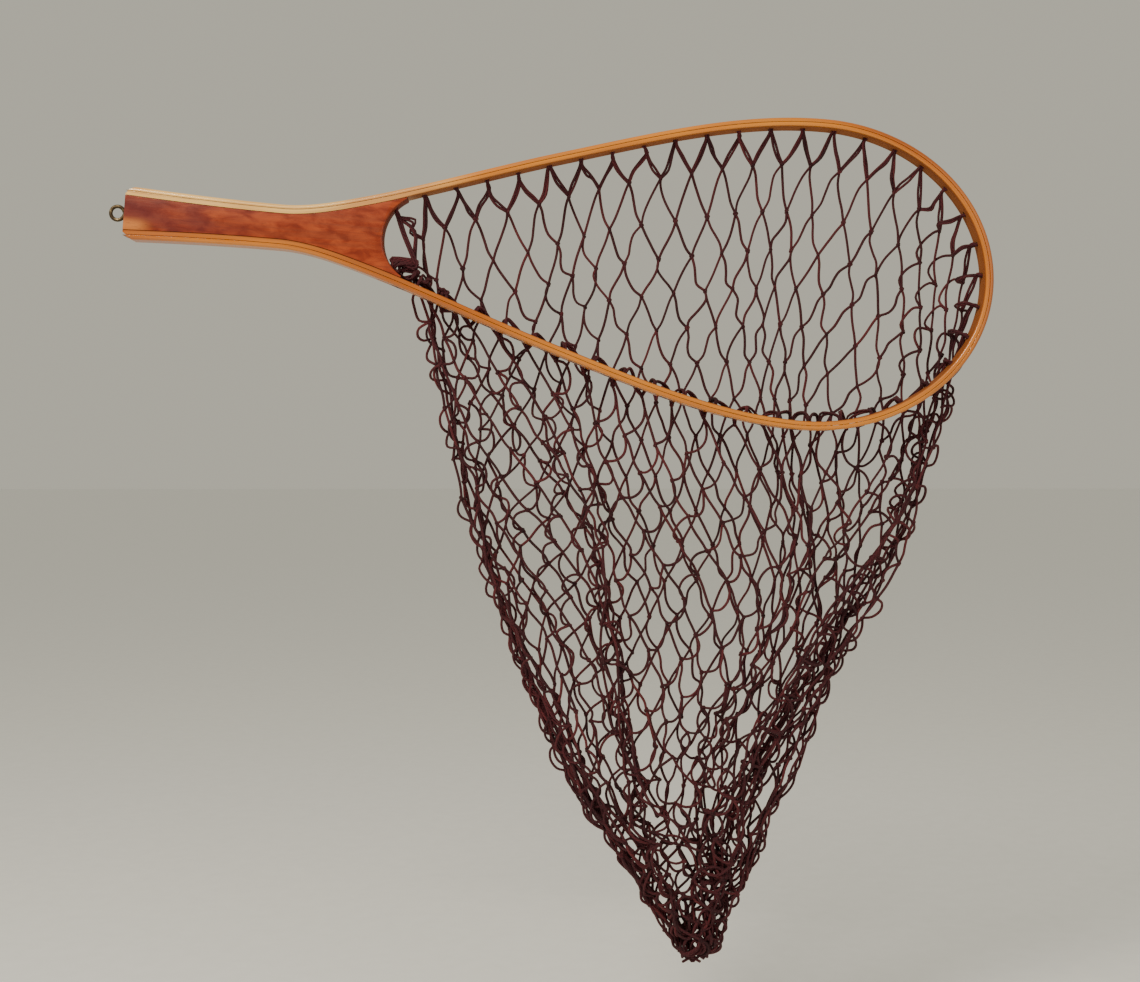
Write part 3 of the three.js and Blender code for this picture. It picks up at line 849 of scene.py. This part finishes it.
class WoodField:
    """A grid over the hoop that tells where wood is, and the nearest place on its inner face."""

    STEP = 1.5
    LOW = np.array([-130.0, -190.0])
    HIGH = np.array([300.0, 45.0])

    def __init__(self):
        shape = ((self.HIGH - self.LOW) / self.STEP).astype(int)
        grid = np.stack(np.meshgrid(*(np.arange(n) for n in shape), indexing="ij"), -1)
        places = (self.LOW + grid * self.STEP).reshape(-1, 2)
        every = 3
        outer = to_row(POINTS[::every])
        inner = to_row((POINTS - NORMALS * INNER_FACE)[::every])
        on_hoop = POINTS[::every, 0] > HORN_TIP
        turn = np.linspace(-1.3, 1.3, 24)
        reach = THROAT_RADIUS
        arc = to_row(np.stack([THROAT_CENTRE - reach * np.cos(turn), reach * np.sin(turn)], -1))
        opening = np.vstack([inner[on_hoop], arc])
        opening = np.vstack([opening, opening[:1]])
        wood = self.inside(places, outer) & ~self.inside(places, opening)
        self.wood = wood.reshape(shape)
        distance, nearest = self.nearest_on(places, opening)
        self.distance = distance.reshape(shape)
        self.nearest = nearest.reshape((*shape, 2))

    @staticmethod
    def inside(places, polygon):
        found = np.zeros(len(places), bool)
        x, z = places.T
        for (x0, z0), (x1, z1) in zip(polygon, np.roll(polygon, -1, axis=0)):
            if z0 != z1:
                crossing = (z0 > z) != (z1 > z)
                found ^= crossing & (x < (x1 - x0) * (z - z0) / (z1 - z0) + x0)
        return found

    @staticmethod
    def nearest_on(places, line):
        best = np.full(len(places), 1e9)
        nearest = np.zeros_like(places)
        for a, b in zip(line[:-1], line[1:]):
            run = b - a
            t = np.clip((places - a) @ run / max(run @ run, 1e-9), 0, 1)
            candidate = a + t[:, None] * run
            distance = np.linalg.norm(places - candidate, axis=1)
            closer = distance < best
            best[closer] = distance[closer]
            nearest[closer] = candidate[closer]
        return best, nearest

    def push_out(self, points, free, radius=TWINE):
        """Moves free points that are in the wood to the nearer of its inner and its back face."""
        cell = np.round((points[:, [0, 2]] - self.LOW) / self.STEP).astype(int)
        on_grid = ((cell >= 0) & (cell < self.wood.shape)).all(1)
        near = np.where(on_grid & free & (np.abs(points[:, 1]) < HALF_DEPTH + radius))[0]
        near = near[self.wood[cell[near, 0], cell[near, 1]]]
        i, j = cell[near].T
        back = HALF_DEPTH + radius - points[near, 1]
        backwards = back < self.distance[i, j] + radius
        points[near[backwards], 1] += back[backwards]
        inwards = near[~backwards]
        face = self.nearest[i[~backwards], j[~backwards]]
        away = unit(face - points[inwards][:, [0, 2]])
        points[inwards, 0] = face[:, 0] + away[:, 0] * radius
        points[inwards, 2] = face[:, 1] + away[:, 1] * radius


class Pairs:
    """Distances kept between pairs of points, in groups that share no point."""

    def __init__(self, first, second, rest, strength, mode):
        self.strength, self.mode = strength, mode
        used = {}
        groups = {}
        for k, (a, b) in enumerate(zip(first.tolist(), second.tolist())):
            taken = used.get(a, 0) | used.get(b, 0)
            colour = (~taken & (taken + 1)).bit_length() - 1
            used[a] = used.get(a, 0) | 1 << colour
            used[b] = used.get(b, 0) | 1 << colour
            groups.setdefault(colour, []).append(k)
        self.groups = [(first[g], second[g], rest[g]) for g in map(np.array, groups.values())]

    def apply(self, points, weight):
        for a, b, rest in self.groups:
            run = points[b] - points[a]
            length = np.linalg.norm(run, axis=1) + 1e-9
            error = length - rest
            if self.mode == "at most":
                error = np.maximum(error, 0)
            elif self.mode == "at least":
                error = np.minimum(error, 0)
            total = np.maximum(weight[a] + weight[b], 1)
            move = (self.strength * error / length / total)[:, None] * run
            points[a] += weight[a, None] * move
            points[b] -= weight[b, None] * move


# Times are in seconds, speeds in mm per second.
SIMULATION_STEPS = 1200
TIME_STEP = 0.004
PULL_DOWN = 450.0
TOP_SPEED = 600.0
DAMPING = 0.985
# The share of its way back to the planned place that a knot goes in a step, and more at the edges.
ATTRACTION = np.array([0.030, 0.008, 0.014])
EDGE_ATTRACTION = np.array([0.05, 0.0, 0.0])
# A first leg's straight end, from its hole inwards.
STUB = 3.2
# The bag's front and back walls: how far each hangs from the middle, and how far points stray
# from it. Towards the tail the walls come closer together.
WALL_APART, WALL_STRAY = 7, 5
WALL_CLOSER, CLOSER_FROM, CLOSER_OVER = 3, -400, 120
NEAREST_Y, FARTHEST_Y = -3, 31


def netting_constraints(net, plan, chain):
    """What shapes the netting: bars of fixed length that bend softly, and meshes that stay open."""
    legs = net.bar_row == 0
    rest = np.repeat(net.length[:, None] / BAR_SEGMENTS, BAR_SEGMENTS, axis=1)
    rest[legs, 0] = STUB
    rest[legs, 1:] = ((net.length[legs] - STUB) / (BAR_SEGMENTS - 1))[:, None]
    opening_a = np.concatenate(net.rows[1:-1])
    opening_b = np.concatenate([np.roll(row, -1) for row in net.rows[1:-1]])
    planned = np.linalg.norm(plan[opening_b] - plan[opening_a], axis=1)
    spread = waves(net.place[opening_a] + 0.5, net.row[opening_a], 11, round_turns=9)
    opening = np.clip(planned * (1.0 + 0.2 * spread), 3, 30)

    def bending(skip, straightness):
        reach = np.repeat(skip * net.length / BAR_SEGMENTS * straightness, BAR_SEGMENTS + 1 - skip)
        return Pairs(chain[:, :-skip].ravel(), chain[:, skip:].ravel(), reach, 0.5, "at least")

    segment = Pairs(chain[:, :-1].ravel(), chain[:, 1:].ravel(), rest.ravel(), 1.0, "exactly")
    return [
        Pairs(opening_a, opening_b, opening, 0.08, "at least"),
        bending(2, 0.985),
        bending(3, 0.90),
        Pairs(net.upper, net.lower, net.length, 1.0, "at most"),
        segment,
        segment,
    ]


def within_bag(points, past_edge, wrinkle, side, behind_rim):
    """The points brought between the bag's edges and towards its front or back wall."""
    x, y, z = points.T
    left, right = bag_edges(z)
    closer = WALL_CLOSER * np.clip((CLOSER_FROM - z) / CLOSER_OVER, 0, 1)
    wall = BAG_MIDDLE + wrinkle + side * (WALL_APART - closer)
    wanted = np.clip(y, np.where(behind_rim, wall - WALL_STRAY, -1), wall + WALL_STRAY)
    return np.stack([
        np.clip(x, left + 1 - past_edge, right - 1 + past_edge),
        np.clip(y + 0.1 * (wanted - y), NEAREST_Y, FARTHEST_Y),
        np.maximum(z, TAIL[2] - 2),
    ], -1)


def hang_netting(net, random):
    """Lets the netting hang: returns each bar's points, the knots and the wood they lie against."""
    plan = planned_knots(net, random)
    knots, bars, inner = len(plan), len(net.upper), BAR_SEGMENTS - 1
    share = np.arange(1, BAR_SEGMENTS)[None, :, None] / BAR_SEGMENTS
    middle = plan[net.upper][:, None] * (1 - share) + plan[net.lower][:, None] * share
    middle = middle + random.normal(0, 0.4, middle.shape)
    points = np.vstack([plan, middle.reshape(-1, 3)])
    count = len(points)
    chain = np.zeros((bars, BAR_SEGMENTS + 1), int)
    chain[:, 0], chain[:, -1] = net.upper, net.lower
    chain[:, 1:-1] = knots + np.arange(bars * inner).reshape(bars, inner)

    fixed = np.zeros(count, bool)
    rim = np.array(net.rows[0])
    points[rim] = np.insert(HOLES, 1, 0.0, axis=1)
    points[net.throat_knot] = THROAT_KNOT
    legs = net.bar_row == 0
    hole = net.upper[legs]
    stubs = chain[legs, 1]
    points[stubs] = np.insert(HOLES[hole] + HOLE_INWARD[hole] * STUB, 1, 0.0, axis=1)
    points[stubs, 1] = np.where(net.side[hole] > -0.3, 0.8, 1.2)
    fixed[np.concatenate([rim, net.rows[-1], [net.throat_knot], stubs])] = True
    weight = np.where(fixed, 0.0, 1.0)
    free = ~fixed

    def along_bars(per_knot):
        """A knot's value, carried to the points along its bars."""
        t = share[..., 0]
        between = per_knot[net.upper][:, None] * (1 - t) + per_knot[net.lower][:, None] * t
        return np.concatenate([per_knot, between.ravel()])

    side = along_bars(net.side)
    row = along_bars(net.row.astype(float))
    column = np.concatenate([net.place, np.repeat(net.place[net.upper], inner)])
    wrinkle = 2.2 * waves(column, row, 21, round_turns=12)
    # Knots keep within the bag's edges, give or take, and loops stick out past them.
    past_edge = np.concatenate([random.uniform(-4, 1.5, knots), np.full(count - knots, 5.0)])
    at_edge = np.clip(1 - np.abs(net.side) / 0.6, 0, 1)[:, None]
    attraction = free[:knots, None] * (ATTRACTION + at_edge * EDGE_ATTRACTION)
    behind_rim = row > 1.2
    constraints = netting_constraints(net, plan, chain)
    wood = WoodField()
    speed = np.zeros_like(points)
    for _ in range(SIMULATION_STEPS):
        before = points.copy()
        speed = speed * DAMPING
        speed[:, 2] -= PULL_DOWN * TIME_STEP
        points[free] += speed[free] * TIME_STEP
        points[:knots] += (plan - points[:knots]) * attraction
        for constraint in constraints:
            constraint.apply(points, weight)
        points[free] = within_bag(points, past_edge, wrinkle, side, behind_rim)[free]
        wood.push_out(points, free)
        speed = (points - before) / TIME_STEP
        size = np.linalg.norm(speed, axis=1, keepdims=True)
        speed *= np.minimum(1, TOP_SPEED / (size + 1e-9))
    return crinkled(points[chain], random), points[:knots], wood


def crinkled(lines, random):
    """Twine that has been knotted and washed keeps small kinks near its knots."""
    share = np.linspace(0, 1, BAR_SEGMENTS + 1)[None, :, None]
    once = random.normal(0, 0.9, (len(lines), 1, 3)) * np.sin(math.pi * share)
    twice = random.normal(0, 0.8, (len(lines), 1, 3)) * np.sin(2 * math.pi * share)
    return lines + (once + twice) * [1, 0.5, 0.6]


# ---- Netting: meshes -------------------------------------------------------------------------

BAR_PARTS = 3
BAR_SIDES = 6
KNOT_STEPS = 18
KNOT_SIDES = 5
KNOT_SIZE = 0.42


def random_tints(random, count, middle, spread):
    return np.clip(random.normal(middle, spread, count), 0, 1)


def knot_lines(places, directions, random, size=KNOT_SIZE):
    """A small overhand knot at each place, turned roughly along the twine there."""
    t = np.linspace(0, 2 * math.pi * (1 - 0.5 / KNOT_STEPS), KNOT_STEPS + 1)
    shape = np.stack([np.sin(t) + 2 * np.sin(2 * t), np.sin(3 * t) * 1.1,
                      np.cos(t) - 2 * np.cos(2 * t)], -1)
    up = unit(directions + random.normal(0, 0.35, directions.shape))
    side = unit(np.cross(up, random.normal(0, 1, up.shape)))
    out = np.cross(side, up)
    scale = size * random.uniform(0.85, 1.15, (len(places), 1, 1))
    local = shape[None] * scale
    return (places[:, None] + local[..., :1] * side[:, None] + local[..., 1:2] * out[:, None]
            + local[..., 2:] * up[:, None])


def bar_bundle(lines, random):
    """Bars of twine, each a little thicker or thinner, darker or paler than the next."""
    radius = TWINE * random.uniform(0.93, 1.06, (len(lines), 1))
    tints = random_tints(random, len(lines), 0.5, 0.22)
    return tubes(spline(lines, BAR_PARTS), radius, BAR_SIDES, tints)


def doubled_legs(net, lines, random):
    """The first row is netted double: two strands side by side from inside each hole."""
    legs = np.where(net.bar_row == 0)[0]
    strands = []
    for k in legs:
        hole = net.upper[k]
        line = lines[k]
        inward = np.insert(HOLE_INWARD[hole], 1, 0.0)
        tangent = np.array([-inward[2], 0.0, inward[0]])
        towards = np.sign((line[-1] - line[0]) @ tangent) or 1.0
        mouth = np.insert(HOLES[hole], 1, 0.0)
        run = unit(line[-1] - line[1])
        across = unit(np.cross(run, [0.25, 1.0, 0.1]))
        for sign in (1, -1):
            start = mouth + towards * 0.7 * tangent + np.array([0, sign * 0.85, 0])
            gap = sign * random.uniform(0.65, 0.85)
            loose = random.normal(0, 0.35, (2, 3))
            body = [line[1] + across * gap * 0.5 + [0, sign * 0.5, 0],
                    line[2] + across * gap + loose[0],
                    line[3] + across * gap + loose[1],
                    line[4] + across * sign * 0.4]
            strands.append([start - inward * 2.2, start, *body])
    return np.array(strands)


# Each piece of netting, the two bodies listed with it, and the CAD nodes it stands for.
NETTING_PIECES = (
    ("netting_back", ("frame", "bag_upper"), ("net_selvedge", "net_mouth")),
    ("netting_front", ("frame", "bag_upper"), ()),
    ("netting_middle", ("bag_upper", "bag_lower"), ("net_upper", "net_lower")),
    ("netting_tail", ("bag_lower", "bag_tail"), ("net_tail",)),
)


def shared_out(height, front):
    """Which bars or knots belong to each piece, from their heights and whether they are in front."""
    above, below = height > PIECE_SEAMS[0], height < PIECE_SEAMS[1]
    return {
        "netting_back": above & ~front,
        "netting_front": above & front,
        "netting_middle": ~above & ~below,
        "netting_tail": below,
    }


def make_netting(random):
    """The whole bag in four pieces. Returns the wood that the netting lies against."""
    net = Netting()
    lines, knots, wood = hang_netting(net, random)
    bars_in = shared_out(lines[:, :, 2].mean(1), net.side[net.upper] + net.side[net.lower] < 0)
    knots_in = shared_out(knots[:, 2], net.side < 0)
    single = net.bar_row > 0
    tied = net.row > 0
    up = np.zeros_like(knots)
    np.add.at(up, net.lower, lines[:, -2] - lines[:, -1])
    doubled = doubled_legs(net, lines, random)
    for name, bodies, nodes in NETTING_PIECES:
        bundles = [bar_bundle(lines[bars_in[name] & single], random)]
        here = tied & knots_in[name]
        coils = knot_lines(knots[here], up[here], random)
        tints = random_tints(random, len(coils), 0.42, 0.2)
        bundles.append(tubes(coils, TWINE * 0.92, KNOT_SIDES, tints))
        if name == "netting_front":
            bundles.append(bar_bundle(doubled, random))
        obj = twine_object(name, bundles)
        if nodes:
            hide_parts(*nodes)
        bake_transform(obj)
    return wood


# ---- Lacing, throat tangle and tail cord -----------------------------------------------------


def lacing_line():
    """The lacing round the groove: it dips into each hole's mouth and turns in at the throat."""
    stops = []
    for k in range(HOLE_COUNT):
        stops.append(to_space(HOLE_MOUTHS[k] - HOLE_NORMALS[k] * LACING_DIP, 0.0))
        if k + 1 < HOLE_COUNT:
            for share in (0.3, 0.7):
                stops.append(between_holes(k, share))
    first = [to_space(HOLE_PLACES[0] - HOLE_NORMALS[0] * d, 0.0) for d in (1.0, -6.0)]
    last = [to_space(HOLE_PLACES[-1] - HOLE_NORMALS[-1] * d, 0.0) for d in (-6.0, 1.0)]
    return np.array(first + stops + last)


def outward_reach(k):
    """From a hole's inner end to the frame's outer face."""
    return THROAT_HOLE_LENGTH if k in (0, HOLE_COUNT - 1) else INNER_FACE


HOLE_MOUTHS = [place + normal * outward_reach(k)
               for k, (place, normal) in enumerate(zip(HOLE_PLACES, HOLE_NORMALS))]
HOLE_ALONG = [ALONG[np.argmin(np.linalg.norm(POINTS - mouth, axis=1))] for mouth in HOLE_MOUTHS]


def between_holes(k, share):
    """A place in the groove, this share of the way from one hole to the next."""
    along = HOLE_ALONG[k] * (1 - share) + HOLE_ALONG[k + 1] * share
    place = np.array([np.interp(along, ALONG, POINTS[:, c]) for c in (0, 1)])
    normal = unit(np.array([np.interp(along, ALONG, NORMALS[:, c]) for c in (0, 1)]))
    return to_space(place - normal * LACING_DEPTH, 0.0)


def loops_over_lacing():
    """At each hole the net's two loops come out, cross over the lacing and go back in."""
    loops = []
    for k in range(HOLE_COUNT):
        along = np.array([-HOLE_NORMALS[k][1], HOLE_NORMALS[k][0]])
        for side in (-0.7, 0.7):
            line = []
            for depth, y in ((5.2, -0.85), (3.2, -0.95), (1.5, -0.9), (0.75, 0.0), (1.5, 0.9),
                             (3.2, 0.95), (5.2, 0.85)):
                line.append(to_space(HOLE_MOUTHS[k] - HOLE_NORMALS[k] * depth + along * side, y))
            loops.append(line)
    return np.array(loops)


def make_lacing(random, wood):
    cord = spline(lacing_line()[None], 5)
    loops = spline(loops_over_lacing(), 4)
    tints = random_tints(random, len(loops), 0.45, 0.2)
    obj = twine_object("lacing", [
        tubes(cord, LACING_RADIUS, 8, np.array([0.35])),
        tubes(loops, LOOP_RADIUS, BAR_SIDES, tints),
        *throat_tangle(random, wood),
    ])
    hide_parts("lacing_cord")
    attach(obj, "frame")


TANGLE_CENTRE = np.array([-98.0, 1.5, -71.5])
TANGLE_SIZE = np.array([9.5, 4.5, 7.0])


def throat_tangle(random, wood):
    """The lacing's two ends, wound and tied together in the throat's lower corner."""
    top = np.insert(HOLES[0], 1, 0.0)
    bottom = np.insert(HOLES[-1], 1, 0.0)
    inward = np.insert(HOLE_INWARD[0], 1, 0.0)
    hanging = []
    foot = TANGLE_CENTRE + [6, 0, 5]
    for shift in (0.0, 1.7):
        out = top + inward * 3
        hanging.append([top - inward + [shift * 0.5, 0, 0], out + [shift, 0, 0],
                        out * 0.65 + foot * 0.35 + [shift - 0.8, 0.5, 0.4],
                        out * 0.3 + foot * 0.7 + [shift - 0.3, -0.4, 0], foot + [shift, 0, 0]])
    coils = []
    count = 13
    for _ in range(5):
        turn = np.sort(random.uniform(0, 1, count)) * 2 * math.pi * random.uniform(1.8, 2.6)
        tilt = random.normal(0, 0.5, 3)
        reach = random.uniform(0.55, 1.0, (count, 1))
        loop = np.stack([np.cos(turn), 0.7 * np.sin(turn * 1.4 + tilt[0]), np.sin(turn + tilt[1])], -1)
        points = TANGLE_CENTRE + loop * reach * TANGLE_SIZE + random.normal(0, 0.8, (count, 3))
        if not coils:
            # The first coil starts at the lower throat hole, where the lacing comes in.
            points[0] = bottom + [1.0, 0, 1.5]
        coils.append(points)
    ties = np.array([[-84.0, 0.5, -77.0], [-75.0, 0.5, -83.5], [-73.0, 0.5, -84.5]])
    knots = knot_lines(ties, np.tile([1.0, 0.0, -0.5], (len(ties), 1)), random, size=0.8)
    coils = spline(np.array(coils), 5)
    for line in coils:
        wood.push_out(line, np.ones(len(line), bool))
    hanging = spline(np.array(hanging), 6)
    return [tubes(hanging, TWINE, BAR_SIDES, np.array([0.6, 0.5])),
            tubes(coils, TWINE * 0.85, BAR_SIDES, np.full(len(coils), 0.35)),
            tubes(knots, TWINE * 1.15, 7, np.full(len(knots), 0.4))]


def make_tail_cord(random):
    """The drawcord through the last meshes: a wavy ring, a knot and two short ends."""
    turn = np.linspace(0, 2 * math.pi, 37)
    ring = np.stack([TAIL[0] + TAIL_HALF_WIDTH * np.cos(turn),
                     TAIL[1] + (TAIL_HALF_DEPTH + 1) * np.sin(turn),
                     TAIL[2] - 1.2 + 1.1 * np.sin(9 * turn)], -1)
    knot_at = np.array([TAIL[0] - 3.0, TAIL[1] - TAIL_HALF_DEPTH - 1.5, TAIL[2] - 1.0])
    knot = knot_lines(knot_at[None], np.array([[1.0, 0.0, 0.2]]), random, size=0.95)
    ends = np.array([[knot_at, knot_at + [side * 3, -1.2, -1.0], knot_at + [side * 6, -1.5, -2.6]]
                     for side in (-1, 1)])
    obj = twine_object("drawcord", [
        tubes(ring[None], TWINE * 1.15, 8, np.array([0.3])),
        tubes(knot, TWINE * 1.2, 8, np.array([0.35])),
        tubes(spline(ends, 5), TWINE, 8, np.array([0.4, 0.45])),
    ])
    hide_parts("tail_cord")
    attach(obj, "bag_tail")


# ---- Studio ----------------------------------------------------------------------------------

CAMERA_HEIGHT = -0.200
CAMERA_DISTANCE = 1.0
CAMERA_YAW = math.radians(1.7)
CAMERA_LENS = 47.8
AIM = Vector((0.0098, 0.0, -0.215))
FLOOR_HEIGHT = -0.62


def make_camera():
    camera = bpy.data.objects.new("camera", bpy.data.cameras.new("camera"))
    bpy.context.scene.collection.objects.link(camera)
    back = Vector((-math.sin(CAMERA_YAW), -math.cos(CAMERA_YAW), 0)) * CAMERA_DISTANCE
    camera.location = Vector((AIM.x, AIM.y, CAMERA_HEIGHT)) + back
    camera.rotation_euler = (AIM - camera.location).to_track_quat("-Z", "Y").to_euler()
    camera.data.lens = CAMERA_LENS
    camera.data.sensor_width = 36
    camera.data.clip_start = 0.01
    bpy.context.scene.camera = camera


def area_light(name, place, aim, size, power, colour):
    light = bpy.data.objects.new(name, bpy.data.lights.new(name, "AREA"))
    bpy.context.scene.collection.objects.link(light)
    light.location = place
    light.rotation_euler = (Vector(aim) - Vector(place)).to_track_quat("-Z", "Y").to_euler()
    light.data.size = size
    light.data.energy = power
    light.data.color = colour


def make_studio():
    look = Look("pale_floor", 0.9)
    place = look.add("TexCoord", {}, output=3)
    speckle = look.noise(place, 60.0, detail=4)
    colour = look.ramp(speckle, [(0.3, (0.92, 0.92, 0.91)), (0.7, (0.95, 0.95, 0.94))])
    reach = 30000
    corners = [(-reach, -reach), (reach, -reach), (reach, reach), (-reach, reach)]
    floor = mesh_object("floor", [(x, y, FLOOR_HEIGHT / MM) for x, y in corners],
                        [np.array([[0, 1, 2, 3]])])
    floor.data.materials.append(look.finish(colour))
    world = bpy.data.worlds.new("studio")
    world.use_nodes = True
    world.node_tree.nodes["Background"].inputs[0].default_value = (0.80, 0.765, 0.63, 1)
    world.node_tree.nodes["Background"].inputs[1].default_value = 0.62
    bpy.context.scene.world = world
    area_light("key", (-0.75, -1.1, 0.95), (0.0, 0.0, -0.15), 0.5, 27, (1.0, 0.92, 0.78))
    area_light("fill", (1.2, -1.3, 0.2), (0.0, 0.0, -0.2), 1.2, 5, (1.0, 0.95, 0.88))


# ---- Build -----------------------------------------------------------------------------------

make_frame_wood()
make_screw_eye()
wood_field = make_netting(np.random.default_rng(7))
make_lacing(np.random.default_rng(11), wood_field)
make_tail_cord(np.random.default_rng(13))
make_camera()
make_studio()
